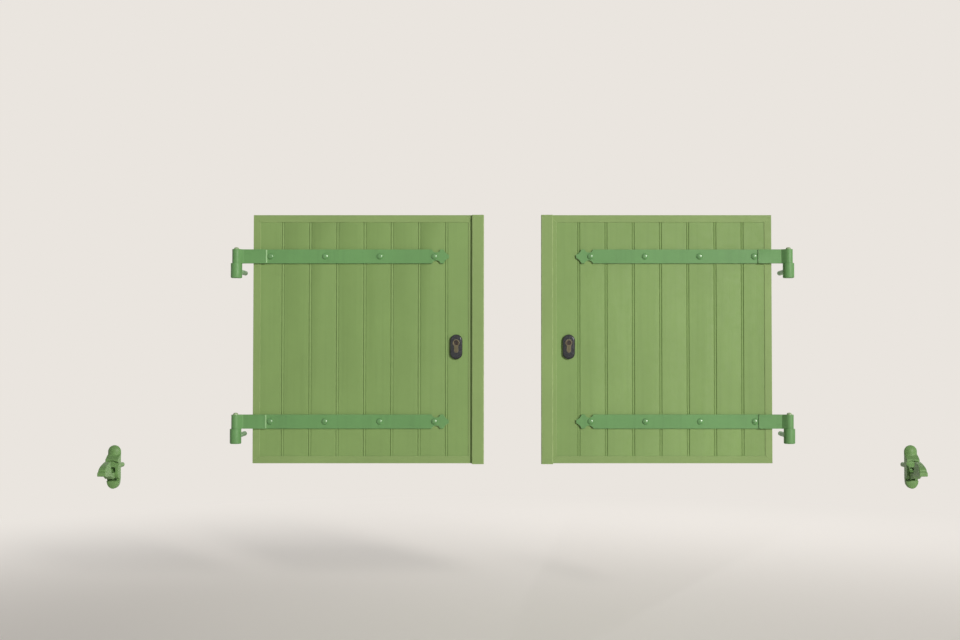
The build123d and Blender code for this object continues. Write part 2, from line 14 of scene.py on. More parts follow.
import bmesh
import bpy
import numpy as np
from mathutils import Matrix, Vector


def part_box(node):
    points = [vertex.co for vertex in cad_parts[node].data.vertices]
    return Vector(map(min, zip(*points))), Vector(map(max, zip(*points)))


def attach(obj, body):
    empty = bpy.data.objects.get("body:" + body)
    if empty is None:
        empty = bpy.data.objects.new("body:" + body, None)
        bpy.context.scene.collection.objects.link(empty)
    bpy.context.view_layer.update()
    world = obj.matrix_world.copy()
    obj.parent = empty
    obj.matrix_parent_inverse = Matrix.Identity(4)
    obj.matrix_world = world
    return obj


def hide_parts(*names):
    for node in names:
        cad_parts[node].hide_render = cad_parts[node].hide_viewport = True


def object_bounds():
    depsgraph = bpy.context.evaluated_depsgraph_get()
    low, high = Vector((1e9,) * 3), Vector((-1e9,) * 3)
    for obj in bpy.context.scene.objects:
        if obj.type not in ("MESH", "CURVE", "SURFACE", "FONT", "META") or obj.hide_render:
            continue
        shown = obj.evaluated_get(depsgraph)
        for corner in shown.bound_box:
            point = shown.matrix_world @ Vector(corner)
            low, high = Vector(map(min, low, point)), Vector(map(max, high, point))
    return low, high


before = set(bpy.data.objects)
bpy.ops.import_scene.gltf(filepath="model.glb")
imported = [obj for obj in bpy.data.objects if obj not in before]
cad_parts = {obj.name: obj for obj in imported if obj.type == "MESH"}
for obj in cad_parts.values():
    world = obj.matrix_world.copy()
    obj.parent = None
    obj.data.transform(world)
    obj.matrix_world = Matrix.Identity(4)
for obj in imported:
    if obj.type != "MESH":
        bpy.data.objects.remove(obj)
CAD_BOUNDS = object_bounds()
LOG = logging.getLogger("shutters")

MM = 0.001
IMAGE_WIDTH = 960
EDGE_ENDING = "_edges"
MERGE_DISTANCE = 1e-6
NOISE_ROUGHNESS = 0.55
MIDDLE_OF_NOISE = (0.3, 0.7)
FLAT_TO_EDGE = (0.52, 0.60)
WORN_PATCHES = (0.42, 0.62)
WORN_SCALE = 140.0

Triple = tuple[float, float, float]
Colour = tuple[float, float, float, float]
Corners = list[Triple]
Surface = tuple[np.ndarray, np.ndarray]
Socket = bpy.types.NodeSocket


class Side(Enum):
    """One of the two shutters, by the side it is on seen from outside."""

    LEFT = "left"
    RIGHT = "right"

    def node(self, name: str) -> str:
        """The full name of one of this side's nodes or bodies."""
        return f"{self.value}_{name}"

    @property
    def hinge_x(self) -> float:
        """The place of the hinge axis along X."""
        low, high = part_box(self.node("pintle_upper"))
        return (low[0] + high[0]) / 2

    @property
    def inward(self) -> float:
        """+1 if the leaf lies towards +X from its hinge, -1 if towards -X."""
        return 1.0 if self is Side.LEFT else -1.0


def srgb(red: int, green: int, blue: int) -> Colour:
    """A colour as the scene holds it, from its screen values.

    Args:
        red: Red from 0 to 255.
        green: Green from 0 to 255.
        blue: Blue from 0 to 255.

    Returns:
        The linear colour with alpha 1: c / 12.92 below 0.04045, else ((c + 0.055) / 1.055) ** 2.4.
    """
    screen = np.array([red, green, blue]) / 255
    linear = np.where(screen <= 0.04045, screen / 12.92, ((screen + 0.055) / 1.055) ** 2.4)
    return (*linear.tolist(), 1.0)


def shaded(colour: Colour, factor: float) -> Colour:
    """A colour with its red, green and blue multiplied by a factor, and none of them above 1."""
    return (*(min(1.0, channel * factor) for channel in colour[:3]), 1.0)


# Materials
@dataclass
class Graph:
    """A material's node graph, with short ways to add and join its nodes."""

    name: str
    tree: bpy.types.NodeTree = field(init=False)
    material: bpy.types.Material = field(init=False)

    def __post_init__(self) -> None:
        """Make the material with an empty graph."""
        self.material = bpy.data.materials.new(self.name)
        self.material.use_nodes = True
        self.tree = self.material.node_tree
        self.tree.nodes.clear()

    def add(self, kind: str, **settings: object) -> bpy.types.Node:
        """Add a node.

        Args:
            kind: The node's type without its ShaderNode prefix.
            settings: Attributes of the node, and values of its inputs by name with spaces as underscores.

        Returns:
            The new node.
        """
        node = self.tree.nodes.new("ShaderNode" + kind)
        for key, value in settings.items():
            if hasattr(node, key):
                setattr(node, key, value)
            else:
                self.feed(node.inputs[key.replace("_", " ")], value)
        return node

    def feed(self, socket: Socket, value: object) -> None:
        """Join an output to an input, or set the input's value.

        Args:
            socket: The input.
            value: The output to join, or the value to set.
        """
        if isinstance(value, Socket):
            self.tree.links.new(value, socket)
        else:
            socket.default_value = value

    def place(self) -> Socket:
        """The point being shaded, in the part's frame."""
        return self.add("TexCoord").outputs["Object"]

    def stretched(self, scale: Triple) -> Socket:
        """The point being shaded, with each direction multiplied by its own scale."""
        return self.add("Mapping", Vector=self.place(), Scale=scale).outputs["Vector"]

    def noise(self, scale: float, detail: float = 3.0, stretch: Triple = (1, 1, 1)) -> Socket:
        """Cloudy noise between 0 and 1.

        Args:
            scale: Patches to the metre.
            detail: Octaves of finer noise.
            stretch: Extra scale along X, Y and Z.

        Returns:
            The noise value.
        """
        vector = self.stretched(stretch)
        node = self.add("TexNoise", Vector=vector, Scale=scale, Detail=detail, Roughness=NOISE_ROUGHNESS)
        return node.outputs["Fac"]

    def span(self, value: Socket, low: float, high: float, to: tuple[float, float] = (0, 1)) -> Socket:
        """A value's share of the way between two limits, smoothed and clamped, then laid between two others.

        Args:
            value: The value.
            low: Where the share is 0.
            high: Where the share is 1.
            to: What the shares 0 and 1 become.

        Returns:
            The new value.
        """
        node = self.add("MapRange", interpolation_type="SMOOTHSTEP", Value=value)
        for key, number in (("From Min", low), ("From Max", high), ("To Min", to[0]), ("To Max", to[1])):
            node.inputs[key].default_value = number
        return node.outputs["Result"]

    def math(self, operation: str, first: object, second: object = 0.0) -> Socket:
        """One sum of two values.

        Args:
            operation: The kind of sum, such as ADD or MULTIPLY.
            first: The first value.
            second: The second value.

        Returns:
            The result.
        """
        node = self.add("Math", operation=operation)
        self.feed(node.inputs[0], first)
        self.feed(node.inputs[1], second)
        return node.outputs[0]

    def blend(self, share: object, first: object, second: object) -> Socket:
        """Two colours mixed.

        Args:
            share: How much of the second there is.
            first: The first colour.
            second: The second colour.

        Returns:
            The mixed colour.
        """
        node = self.add("Mix", data_type="RGBA", clamp_result=True)
        self.feed(node.inputs[0], share)
        self.feed(node.inputs[6], first)
        self.feed(node.inputs[7], second)
        return node.outputs[2]

    def wear_and_highlight_share(self, strength: float) -> Socket:
        """How far outward edges and crowns take the rubbed colour, broken up by noise: real rubbing, and on
        bolts, pins and the escutcheon's rim also a painted highlight.

        Args:
            strength: The share rubbed off on the sharpest edges.

        Returns:
            The share rubbed off.
        """
        edge = self.span(self.add("NewGeometry").outputs["Pointiness"], *FLAT_TO_EDGE)
        patch = self.span(self.noise(WORN_SCALE, 4), *WORN_PATCHES)
        return self.math("MULTIPLY", self.math("MULTIPLY", edge, patch), strength)

    def finish(self, shader: bpy.types.Node) -> bpy.types.Material:
        """Join the shader to the material's output.

        Args:
            shader: The last node of the graph.

        Returns:
            The finished material.
        """
        output = self.add("OutputMaterial")
        self.tree.links.new(shader.outputs[0], output.inputs["Surface"])
        return self.material


@dataclass(frozen=True)
class Paint:
    """Brushed or sprayed exterior paint: clouds of tone, rain streaks, orange peel and rubbed edges, painted
    shade in board grooves, and on bolts and pins a painted highlight on rubbed crowns.
    """

    name: str
    colour: Colour
    worn_and_highlight: Colour
    grime_and_groove_shade: Colour
    roughness: float = 0.5
    tone: float = 0.10
    cloud_scale: float = 5.5
    streaks: float = 0.10
    streak_scale: Triple = (90.0, 90.0, 2.2)
    streak_noise: tuple[float, float] = (0.45, 0.78)
    peel: float = 0.00006
    peel_scale: float = 520.0
    edge_wear: tuple[float, float] = (0.15, 0.5)
    rub_scale: float = 70.0
    rub_noise: tuple[float, float] = (0.38, 0.66)
    crown_wear_and_highlight: float = 0.0
    gloss: float = 0.5
    dull_scale: float = 60.0
    dull_spread: float = 0.07
    strokes: float = 0.0
    stroke_scale: Triple = (420.0, 420.0, 9.0)
    board_pitch: float = 0.0
    board_tone: float = 0.08
    middle_x: float = 0.0
    nearest_joint: float = 0.0
    board_face: tuple[float, float] = (0.0, 0.0)
    # where and how strongly shade is painted into the board grooves
    groove_depths: tuple[float, float] = (1.7 * MM, 0.3 * MM)
    groove_shade: float = 0.2

    def material(self, edge: bool = False) -> bpy.types.Material:
        """The finish as a node material.

        Args:
            edge: Whether it is for eased edges, where the paint is rubbed thin in patches.

        Returns:
            The material.
        """
        graph = Graph(self.name + (EDGE_ENDING if edge else ""))
        cloud = graph.span(graph.noise(self.cloud_scale, 5), *MIDDLE_OF_NOISE)
        colour = graph.blend(cloud, shaded(self.colour, 1 - self.tone), shaded(self.colour, 1 + self.tone))
        streak = graph.span(graph.noise(1.0, 4, self.streak_scale), *self.streak_noise, (0, self.streaks))
        colour = graph.blend(streak, colour, self.grime_and_groove_shade)
        if self.board_pitch:
            colour = self.boards(graph, colour)
        if edge:
            rubbed = graph.span(graph.noise(self.rub_scale, 4), *self.rub_noise, self.edge_wear)
            colour = graph.blend(rubbed, colour, self.worn_and_highlight)
        # rubbed crowns: real rubbing, and on bolts and pins also a painted highlight in the pale rubbed
        # colour
        elif self.crown_wear_and_highlight:
            colour = graph.blend(graph.wear_and_highlight_share(self.crown_wear_and_highlight), colour, self.worn_and_highlight)
        limits = (self.roughness - self.dull_spread, self.roughness + self.dull_spread)
        rough = graph.span(graph.noise(self.dull_scale, 3), *MIDDLE_OF_NOISE, limits)
        grain = graph.noise(self.peel_scale, 2)
        bump = graph.add("Bump", Strength=1.0, Distance=self.peel, Height=grain)
        if self.strokes:
            stroke = graph.noise(1.0, 3, self.stroke_scale)
            bump = graph.add(
                "Bump", Strength=1.0, Distance=self.strokes, Height=stroke, Normal=bump.outputs["Normal"]
            )
        shader = graph.add(
            "BsdfPrincipled", Base_Color=colour, Roughness=rough, Specular_IOR_Level=self.gloss,
            Normal=bump.outputs["Normal"],
        )
        return graph.finish(shader)

    def boards(self, graph: Graph, colour: Socket) -> Socket:
        """Give each board its own slight tone, and paint shade into the grooves.

        Args:
            graph: The material's graph.
            colour: The paint's colour so far.

        Returns:
            The colour with both added. A board's number is the whole part of (|x - m| - j) / p, where m is
            the pair's middle, j the nearest joint's distance from it and p the pitch, and 20 more on the
            right. The grooves lie where the distance from the middle of the thickness is less than half
            the thickness.
        """
        x, y, _ = graph.add("SeparateXYZ", Vector=graph.place()).outputs
        across = graph.math("SUBTRACT", x, self.middle_x)
        reach = graph.math("SUBTRACT", graph.math("ABSOLUTE", across), self.nearest_joint)
        number = graph.math("FLOOR", graph.math("DIVIDE", reach, self.board_pitch))
        number = graph.math("ADD", number, graph.math("MULTIPLY", graph.math("GREATER_THAN", across), 20.0))
        chance = graph.add("TexWhiteNoise", noise_dimensions="1D", W=number).outputs["Value"]
        colour = graph.blend(graph.span(chance, 0.0, 1.0, (0.0, self.board_tone)), colour, self.worn_and_highlight)
        front, back = self.board_face
        half = (back - front) / 2
        depth = graph.math("ABSOLUTE", graph.math("SUBTRACT", y, (front + back) / 2))
        deepest, shallowest = self.groove_depths
        # painted shade: the V-grooves darken towards the dark streak colour, standing in for the shade inside
        # them
        painted_groove_shade = graph.span(depth, half - deepest, half - shallowest, (self.groove_shade, 0.0))
        return graph.blend(painted_groove_shade, colour, self.grime_and_groove_shade)


@dataclass(frozen=True)
class Metal:
    """Bare or lacquered metal: fine scratches, dull patches and rubbed edges; on the escutcheon the rubbed
    rim is also a painted glint.
    """

    name: str
    colour: Colour
    worn_and_highlight: Colour
    metallic: float = 1.0
    roughness: float = 0.4
    crown_wear_and_highlight: float = 0.0
    tarnish: float = 0.78
    tarnish_scale: float = 160.0
    edge_wear: tuple[float, float] = (0.2, 0.75)
    rub_scale: float = 90.0
    rub_noise: tuple[float, float] = (0.3, 0.6)
    dull_scale: float = 240.0
    dull_spread: tuple[float, float] = (0.1, 0.12)
    grain: float = 0.00004
    grain_scale: float = 900.0

    def material(self, edge: bool = False) -> bpy.types.Material:
        """The finish as a node material.

        Args:
            edge: Whether it is for eased edges, which are rubbed bright.

        Returns:
            The material.
        """
        graph = Graph(self.name + (EDGE_ENDING if edge else ""))
        cloud = graph.span(graph.noise(self.tarnish_scale, 5), *MIDDLE_OF_NOISE)
        colour = graph.blend(cloud, shaded(self.colour, self.tarnish), self.colour)
        if edge:
            rubbed = graph.span(graph.noise(self.rub_scale, 4), *self.rub_noise, self.edge_wear)
            colour = graph.blend(rubbed, colour, self.worn_and_highlight)
        # rubbed crown: bright bare metal, and on the escutcheon's rim also a painted glint
        elif self.crown_wear_and_highlight:
            colour = graph.blend(graph.wear_and_highlight_share(self.crown_wear_and_highlight), colour, self.worn_and_highlight)
        limits = (self.roughness - self.dull_spread[0], self.roughness + self.dull_spread[1])
        rough = graph.span(graph.noise(self.dull_scale, 4), *MIDDLE_OF_NOISE, limits)
        grain = graph.noise(self.grain_scale, 3)
        bump = graph.add("Bump", Strength=1.0, Distance=self.grain, Height=grain)
        shader = graph.add(
            "BsdfPrincipled", Base_Color=colour, Roughness=rough, Metallic=self.metallic,
            Normal=bump.outputs["Normal"],
        )
        return graph.finish(shader)


class Finish(Enum):
    """The finishes on the pair, by what wears them."""

    BOARDS = Paint(
        "painted_boards", srgb(128, 158, 93), srgb(150, 178, 116), srgb(64, 86, 44), roughness=0.6,
        tone=0.035, streaks=0.08, gloss=0.4, strokes=0.00012,
        board_pitch=0.0682, middle_x=0.688, nearest_joint=0.0317, board_face=(-0.0005, 0.0235),
    )
    EDGING = Paint(
        "painted_edging", srgb(136, 162, 101), srgb(172, 192, 136), srgb(88, 108, 62), roughness=0.58,
        tone=0.04, streaks=0.06, gloss=0.3, strokes=0.00006,
    )
    STRAPS = Paint(
        "painted_straps", srgb(105, 153, 94), srgb(160, 196, 144), srgb(52, 80, 46), roughness=0.46,
        tone=0.05, peel=0.00010, peel_scale=260, gloss=0.35, strokes=0.00010,
        stroke_scale=(11.0, 300.0, 300.0),
    )
    # bolt domes: the pale rubbed colour on their crowns is partly real rubbing and partly a painted highlight
    BOLTS = Paint(
        "painted_bolts", srgb(92, 146, 82), srgb(190, 212, 176), srgb(52, 80, 46), roughness=0.28,
        crown_wear_and_highlight=0.25, gloss=0.9,
    )
    # weld bead: paint made lighter than the straps', a painted highlight along the leg's end
    BEAD = Paint(
        "bead_paint_with_highlight", srgb(134, 178, 120), srgb(206, 224, 192), srgb(70, 100, 60), roughness=0.40,
        gloss=0.8,
    )
    # pin: pale paint rubbed paler on its domed crown, partly bare metal and partly a painted highlight
    PIN = Paint(
        "painted_pin", srgb(160, 182, 140), srgb(214, 224, 200), srgb(98, 110, 84), roughness=0.36,
        crown_wear_and_highlight=0.8,
    )
    HOLDBACK = Paint(
        "painted_holdback", srgb(111, 149, 90), srgb(158, 186, 134), srgb(48, 68, 38), roughness=0.42,
        tone=0.08, peel=0.00008, crown_wear_and_highlight=0.3, gloss=0.3,
    )
    # escutcheon: its rim rubs to near white, partly bare metal and partly a painted glint
    ESCUTCHEON = Metal(
        "escutcheon_lacquer", srgb(58, 60, 64), srgb(214, 212, 208), metallic=0.5, roughness=0.24,
        crown_wear_and_highlight=0.8,
    )
    BRASS = Metal("dull_brass", srgb(106, 100, 78), srgb(190, 178, 148), metallic=0.75, roughness=0.42)
    PLUG = Metal("plug_brass", srgb(74, 64, 58), srgb(214, 194, 176), metallic=0.75, roughness=0.34)
    ZINC = Metal("zinc_plate", srgb(150, 150, 146), srgb(206, 206, 202), roughness=0.38)

    @property
    def made(self) -> bpy.types.Material:
        """The material, made once."""
        return bpy.data.materials.get(self.value.name) or self.value.material()

    @property
    def made_for_edges(self) -> bpy.types.Material:
        """The material of its eased edges, made once."""
        return bpy.data.materials.get(self.value.name + EDGE_ENDING) or self.value.material(edge=True)


# Meshes
def grid_faces(rows: int, columns: int, closed_columns: bool) -> np.ndarray:
    """Quads that join the points of a grid.

    Args:
        rows: Points along the first direction.
        columns: Points along the second direction.
        closed_columns: Whether the last column joins the first.

    Returns:
        One row of four point numbers for each quad, where point (i, j) has the number i * columns + j.
    """
    last = columns if closed_columns else columns - 1
    i, j = np.meshgrid(np.arange(rows - 1), np.arange(last), indexing="ij")
    nearest, farther = i * columns + j, i * columns + (j + 1) % columns
    return np.stack([nearest, farther, farther + columns, nearest + columns], axis=-1).reshape(-1, 4)


def new_piece(name: str, points: np.ndarray, faces: list[list[int]], finish: Finish) -> bpy.types.Object:
    """A finished piece from points and faces, its faces turned outwards.

    Args:
        name: The piece's name.
        points: One row of X, Y and Z for each point.
        faces: Point numbers of each face.
        finish: What the piece is finished with.

    Returns:
        The piece, at the origin with its place in its mesh.
    """
    mesh = bpy.data.meshes.new(name)
    mesh.from_pydata(points.tolist(), [], faces)
    work = bmesh.new()
    work.from_mesh(mesh)
    bmesh.ops.remove_doubles(work, verts=work.verts, dist=MERGE_DISTANCE)
    bmesh.ops.recalc_face_normals(work, faces=work.faces)
    work.to_mesh(mesh)
    work.free()
    return added(name, mesh, finish)


def added(name: str, mesh: bpy.types.Mesh, finish: Finish, sharp: float = radians(32)) -> bpy.types.Object:
    """Put a mesh into the scene, smooth but for its sharp edges, in one finish.

    Args:
        name: The piece's name.
        mesh: The mesh, with its place in it.
        finish: What the piece is finished with.
        sharp: The angle between two faces from which their edge stays sharp.

    Returns:
        The piece.
    """
    mesh.materials.clear()
    mesh.materials.append(finish.made)
    mesh.polygons.foreach_set("use_smooth", np.ones(len(mesh.polygons), dtype=bool))
    mesh.polygons.foreach_set("material_index", np.zeros(len(mesh.polygons), dtype=np.int32))
    mesh.set_sharp_from_angle(angle=sharp)
    piece = bpy.data.objects.new(name, mesh)
    bpy.context.scene.collection.objects.link(piece)
    return piece


def joined(surfaces: list[Surface]) -> tuple[np.ndarray, list[list[int]]]:
    """Several closed surfaces as one.

    Args:
        surfaces: The points and the quads of each surface.

    Returns:
        All the points, and each face's numbers moved on by the count of the points before its surface.
    """
    starts = np.cumsum([0] + [len(points) for points, _ in surfaces[:-1]])
    faces = np.concatenate([quads + start for (_, quads), start in zip(surfaces, starts)])
    return np.concatenate([points for points, _ in surfaces]), faces.tolist()


def turned(profile: np.ndarray, centre: Triple, axis: tuple[int, int, int], sides: int = 48) -> Surface:
    """A surface turned about an axis: P(i, a) = centre + r_i (cos a e1 + sin a e2) + h_i axis.

    Args:
        profile: Rows of radius r and height h, starting and ending at radius 0.
        centre: The point of height 0 on the axis.
        axis: The axis, a unit vector along X, Y or Z.
        sides: Steps round the axis.

    Returns:
        The points, and the quads that join them.
    """
    along = np.array(axis, dtype=float)
    first = np.roll(along, 1)
    second = np.cross(along, first)
    angle = np.linspace(0, 2 * pi, sides, endpoint=False)
    round_trip = np.outer(np.cos(angle), first) + np.outer(np.sin(angle), second)
    points = profile[:, 0, None, None] * round_trip + profile[:, 1, None, None] * along
    return (points + np.array(centre)).reshape(-1, 3), grid_faces(len(profile), sides, True)


def rounded(corners: Corners, steps: int = 6) -> np.ndarray:
    """A profile through corners, each rounded by an arc of its own radius.

    Args:
        corners: Rows of radius from the axis, height and rounding radius.
        steps: Points on each arc.

    Returns:
        The profile's points. Each arc is the quadratic curve (1-t)^2 a + 2t(1-t) c + t^2 b, where c is the
        corner and a and b are its tangent points.
    """
    flat = np.array([corner[:2] for corner in corners], dtype=float)
    parts = [flat[:1]]
    for i in range(1, len(corners) - 1):
        before, corner, after = flat[i - 1], flat[i], flat[i + 1]
        reach = corners[i][2]
        start = corner + (before - corner) / np.linalg.norm(before - corner) * reach
        end = corner + (after - corner) / np.linalg.norm(after - corner) * reach
        t = np.linspace(0, 1, steps if reach else 1)[:, None]
        parts.append((1 - t) ** 2 * start + 2 * t * (1 - t) * corner + t**2 * end if reach else corner[None])
    return np.concatenate(parts + [flat[-1:]])


def eased_copy(node: str, finish: Finish, width: float, steps: int = 2) -> bpy.types.Object:
    """A copy of a node's solid with its sharp edges eased.

    Args:
        node: The node.
        finish: What the piece is finished with.
        width: Width of the eased edge.
        steps: Facets across it.

    Returns:
        The copy, which stands for the node.
    """
    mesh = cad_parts[node].data.copy()
    work = bmesh.new()
    work.from_mesh(mesh)
    bmesh.ops.remove_doubles(work, verts=work.verts, dist=MERGE_DISTANCE)
    bmesh.ops.dissolve_limit(work, angle_limit=radians(1), verts=work.verts, edges=work.edges)
    work.to_mesh(mesh)
    work.free()
    piece = added(f"{node}_finished", mesh, finish)
    mesh.materials.append(finish.made_for_edges)
    bevel = piece.modifiers.new("eased_edges", "BEVEL")
    bevel.material = 1
    bevel.width = width
    bevel.segments = steps
    bevel.limit_method = "ANGLE"
    bevel.angle_limit = radians(30)
    bevel.harden_normals = True
    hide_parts(node)
    return piece


def moulded_copy(
    node: str, finish: Finish, reshape: Callable[[np.ndarray], np.ndarray], grain: float, passes: int
) -> bpy.types.Object:
    """A copy of a node's solid with every edge softened as on a casting, then shaped by a formula.

    Args:
        node: The node.
        finish: What the piece is finished with.
        reshape: Takes one row of X, Y and Z for each point and returns the rows moved.
        grain: Size of the copy's faces.
        passes: How many times each point is drawn towards its neighbours.

    Returns:
        The copy, which stands for the node and fills the node's box exactly.
    """
    rough = bpy.data.objects.new("rough_copy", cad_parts[node].data.copy())
    bpy.context.scene.collection.objects.link(rough)
    remesh = rough.modifiers.new("even_faces", "REMESH")
    remesh.mode = "VOXEL"
    remesh.voxel_size = grain
    smooth = rough.modifiers.new("soft_edges", "SMOOTH")
    smooth.factor = 0.5
    smooth.iterations = passes
    graph = bpy.context.evaluated_depsgraph_get()
    mesh = bpy.data.meshes.new_from_object(rough.evaluated_get(graph))
    bpy.data.objects.remove(rough, do_unlink=True)
    flat = np.empty(len(mesh.vertices) * 3, dtype=np.float32)
    mesh.vertices.foreach_get("co", flat)
    points = reshape(flat.reshape(-1, 3).astype(float))
    low, high = (np.array(corner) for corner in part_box(node))
    start, end = points.min(axis=0), points.max(axis=0)
    points = low + (points - start) / (end - start) * (high - low)
    mesh.vertices.foreach_set("co", points.astype(np.float32).ravel())
    mesh.update()
    piece = added(f"{node}_moulded", mesh, finish, radians(60))
    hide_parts(node)
    return piece


def share(value: np.ndarray, start: float, end: float) -> np.ndarray:
    """How far each value has come on its way from start to end, from 0 to 1."""
    return np.clip((value - start) / (end - start), 0.0, 1.0)


def settle(piece: bpy.types.Object, body: str, slot: str, *nodes: str) -> bpy.types.Object:
    """Say what a piece rides on and what it stands for, and report it.

    Args:
        piece: The piece.
        body: The body it rides on.
        slot: The record's material slot; not used.
        nodes: The nodes it stands for, where that isn't said yet.

    Returns:
        The piece.
    """
    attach(piece, body)
    if nodes:
        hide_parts(*nodes)
    LOG.info("%s rides on %s", piece.name, body)
    return piece


# Sub-assemblies
@dataclass
class Leaf:
    """The boards, the edging round them and the cover strip."""

    side: Side
    board_count: int = 8
    board_easing: float = 0.5 * MM
    edging_easing: float = 0.9 * MM
    strip_easing: float = 0.9 * MM

    def build(self) -> None:
        """Dress every piece of the leaf."""
        body = self.side.node("leaf")
        for number in range(1, self.board_count + 1):
            piece = eased_copy(self.side.node(f"board_{number}"), Finish.BOARDS, self.board_easing)
            settle(piece, body, "board_paint")
        for name in ("edging_top", "edging_bottom", "edging_hinge_side", "edging_lock_side"):
            settle(eased_copy(self.side.node(name), Finish.EDGING, self.edging_easing), body, "edging")
        settle(eased_copy(self.side.node("cover_strip"), Finish.EDGING, self.strip_easing), body, "edging")


@dataclass
class StrapHinges:
    """The strap hinges, their backing straps, and the bolts and nuts through both."""

    side: Side
    easing: float = 1.1 * MM
    backing_easing: float = 0.45 * MM
    head_radius: float = 8.0 * MM
    head_height: float = 4.0 * MM
    shank_radius: float = 2.9 * MM
    bolt_columns: int = 4
    bead_place: tuple[float, float] = (72.0 * MM, -6.0 * MM)
    bead_radius: float = 3.95 * MM
    bead_ripple: float = 0.012 * MM
    ripple_length: float = 3.0 * MM
    bead_inset: float = 0.2 * MM
    bead_end: float = 1.5 * MM
    shank_bevel: float = 0.5 * MM
    nut_easing: float = 0.3 * MM

    def build(self) -> None:
        """Dress the straps and build the bolts."""
        body = self.side.node("leaf")
        for level in ("upper", "lower"):
            strap = eased_copy(self.side.node(f"strap_{level}"), Finish.STRAPS, self.easing, 4)
            settle(strap, body, "strap_paint")
            backing = eased_copy(self.side.node(f"backing_strap_{level}"), Finish.STRAPS, self.backing_easing)
            settle(backing, body, "strap_paint")
            settle(self.weld_bead(level), body, "strap_paint")
        settle(self.bolts(), body, "bolt", self.side.node("strap_bolts"))
        settle(eased_copy(self.side.node("strap_nuts"), Finish.ZINC, self.nut_easing), body, "zinc")

    def weld_bead(self, level: str) -> bpy.types.Object:
        """The bead that joins the end of the eye's return leg to the strap.

        Args:
            level: Which strap, upper or lower.

        Returns:
            The piece. Its radius along the strap's height h is R + e sin(2 pi h / l), and falls to 0 at
            both ends as the square root of the distance from the end.
        """
        low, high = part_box(self.side.node(f"strap_{level}"))
        height = np.linspace(low[2] + self.bead_inset, high[2] - self.bead_inset, 90)
        ripple = self.bead_ripple * np.sin(2 * pi * (height - height[0]) / self.ripple_length)
        ends = np.minimum(height - height[0], height[-1] - height) / self.bead_end
        radius = (self.bead_radius - self.bead_ripple + ripple) * np.sqrt(np.clip(ends, 0.0, 1.0))
        out, depth = self.bead_place
        centre = (self.side.hinge_x + self.side.inward * out, depth, 0.0)
        surface = turned(np.stack([radius, height], axis=1), centre, (0, 0, 1), 28)
        # the bead's lighter paint is a painted highlight along the return leg's end
        return new_piece(self.side.node(f"strap_{level}_weld_bead"), *joined([surface]), Finish.BEAD)

    def bolts(self) -> bpy.types.Object:
        """All the strap bolts of one leaf: domed heads on round shanks.

        Returns:
            The piece, with one turned surface for each bolt.
        """
        low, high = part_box(self.side.node("strap_bolts"))
        first, last = low[0] + self.head_radius, high[0] - self.head_radius
        crown, end = low[1], high[1]
        seat = crown + self.head_height
        heights = (low[2] + self.head_radius, high[2] - self.head_radius)
        profile = self.profile(end - seat)
        surfaces = [
            turned(profile, (x, seat, z), (0, 1, 0), 32)
            for x in np.linspace(first, last, self.bolt_columns)
            for z in heights
        ]
        return new_piece(self.side.node("domed_bolts"), *joined(surfaces), Finish.BOLTS)

    def profile(self, length: float) -> np.ndarray:
        """The bolt's profile.

        Args:
            length: Length of the shank.

        Returns:
            Rows of radius and height: the head's r = R cos a and h = -H sin a, with a from 90 to 0 degrees,
            then the bevelled shank.
        """
        a = np.linspace(pi / 2, 0, 10)
        head = np.stack([self.head_radius * np.cos(a), -self.head_height * np.sin(a)], axis=1)
        radius, bevel = self.shank_radius, self.shank_bevel
        shank = [(radius, 0.0), (radius, length - bevel), (radius - bevel, length), (0.0, length)]
        return np.concatenate([head, np.array(shank)])


@dataclass
class Pintle:
    """One wall pintle: bevelled post flat on the wall, domed pin and shank."""

    side: Side
    level: str
    post_radius: float = 14.0 * MM
    pin_radius: float = 6.5 * MM
    shank_radius: float = 6.0 * MM
    post_height: float = 37.0 * MM
    post_bevel: float = 3.0 * MM
    rim_bevel: float = 0.6 * MM
    pin_dome: float = 5.5 * MM
    pin_sunk: float = 1.0 * MM
    shank_bevel: float = 1.2 * MM

    def build(self) -> None:
        """Build the pintle and stand it for its node."""
        node = self.side.node(f"pintle_{self.level}")
        low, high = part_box(node)
        axis_y = low[1] + self.post_radius
        x = self.side.hinge_x
        foot, top = low[2], low[2] + self.post_height
        post = self.rod(foot, top, self.post_radius, self.rim_bevel, self.post_bevel)
        points, quads = turned(post, (x, axis_y, 0), (0, 0, 1), 72)
        points[:, 1] = np.minimum(points[:, 1], 0.0)
        shank = self.rod(axis_y, high[1], self.shank_radius, self.shank_bevel)
        surfaces = [(points, quads), turned(shank, (x, 0, (foot + top) / 2), (0, 1, 0), 32)]
        piece = new_piece(f"{node}_post", *joined(surfaces), Finish.STRAPS)
        settle(piece, "wall_fixings", "strap_paint", node)
        pin = self.rod(top - self.pin_sunk, high[2], self.pin_radius, self.pin_dome, steps=10)
        surface = turned(pin, (x, axis_y, 0), (0, 0, 1))
        settle(new_piece(f"{node}_pin", *joined([surface]), Finish.PIN), "wall_fixings", "strap_paint", node)

    def rod(
        self, start: float, end: float, radius: float, bevel: float, start_bevel: float = 0.0, steps: int = 6
    ) -> np.ndarray:
        """The profile of a closed round rod.

        Args:
            start: Height of its first end.
            end: Height of its second end.
            radius: Its radius.
            bevel: Rounding of its second end.
            start_bevel: Rounding of its first end.
            steps: Points on each rounding.

        Returns:
            Rows of radius and height.
        """
        corners = [(0, start, 0), (radius, start, start_bevel), (radius, end, bevel), (0, end, 0)]
        return rounded(corners, steps)


